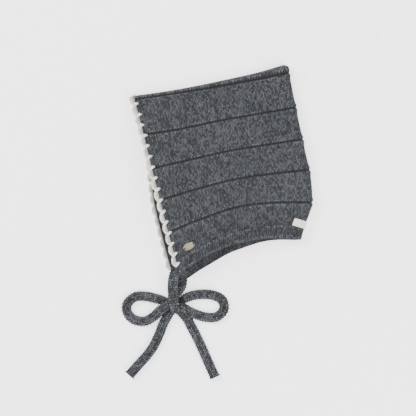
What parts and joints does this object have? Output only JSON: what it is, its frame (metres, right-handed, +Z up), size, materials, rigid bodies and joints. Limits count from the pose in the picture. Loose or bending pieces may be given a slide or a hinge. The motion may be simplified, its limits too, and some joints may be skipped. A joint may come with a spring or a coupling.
{
  "type": "baby bonnet",
  "caption": "Knitted baby bonnet lying on its side: ridged hood with a pointed crown, ribbed neck band, scalloped crochet face edging, cord ties in a bow.",
  "frame": {"origin": "middle of the hood's box, on the surface the bonnet lies on, ties left out", "axes": "+X from the face opening to the back fold, +Y from the neck to the crown, +Z up from the surface through the two layers"},
  "size_m": [0.2226, 0.2945, 0.0327],
  "materials": {
    "grey_knit": "melange wool knit, matt",
    "cream_crochet": "crocheted yarn, matt",
    "grey_cord": "knitted cord, matt",
    "woven_tape": "woven tape, plain",
    "pale_metal": "brushed, warm",
    "sewing_thread": "thread"
  },
  "bodies": {
    "root": {"hood": "grey_knit", "neck_band": "grey_knit", "face_edging": "cream_crochet", "upper_tie_strap": "grey_cord", "lower_tie_strap": "grey_cord", "bow_loop_left": "grey_cord", "bow_loop_right": "grey_cord", "bow_tail_left": "grey_cord", "bow_tail_right": "grey_cord", "bow_knot": "grey_cord", "nape_label": "woven_tape", "metal_tag": "pale_metal", "tag_stitch_front": "sewing_thread", "tag_stitch_rear": "sewing_thread"}
  },
  "joints": []
}
